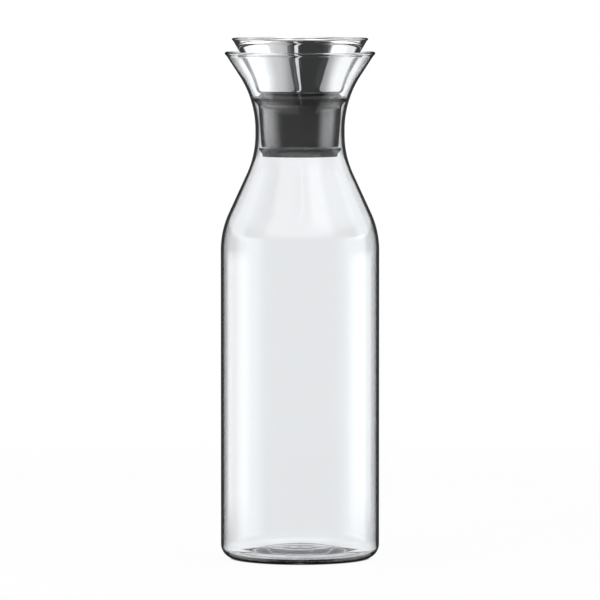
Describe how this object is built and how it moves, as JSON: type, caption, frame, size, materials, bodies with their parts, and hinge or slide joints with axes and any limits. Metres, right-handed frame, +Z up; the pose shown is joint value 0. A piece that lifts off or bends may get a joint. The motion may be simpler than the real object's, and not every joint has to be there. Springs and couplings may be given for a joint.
{
  "type": "fridge carafe",
  "caption": "Slim glass carafe with a flared neck and a lift-out drip-free stopper: steel pouring funnel, silicone sleeve and a weighted lid that tips open on pouring.",
  "frame": {"origin": "middle of the standing ring under the glass, on the surface that the carafe stands on", "axes": "+Z up along the carafe's axis, towards the pouring funnel; +Y is the side that the carafe is tipped towards to open the lid; +X along the lid's axle"},
  "size_m": [0.085, 0.085, 0.2793],
  "materials": {
    "glass": "clear, fire-polished",
    "silicone": "satin black",
    "plastic": "black, smooth",
    "polished_steel": "mirror-polished stainless steel",
    "plain_steel": "plain turned stainless steel"
  },
  "bodies": {
    "carafe": {"glass_carafe": "glass"},
    "stopper": {"seal_sleeve": "silicone", "valve_housing": "plastic", "throat_ring": "plastic", "steel_funnel": "polished_steel"},
    "lid": {"flip_lid": "plastic", "lid_cap": "polished_steel", "lid_axle": "plain_steel", "lid_weight": "plain_steel"}
  },
  "joints": [
    {"name": "stopper_lift", "type": "slide", "parent": "carafe", "child": "stopper", "axis": [0, 0, 1], "range_m": [0, 0.065]},
    {"name": "lid_tilt", "type": "hinge", "parent": "stopper", "child": "lid", "pos_m": [0, -0.003, 0.24582], "axis": [1, 0, 0], "range_deg": [0, 70]}
  ]
}
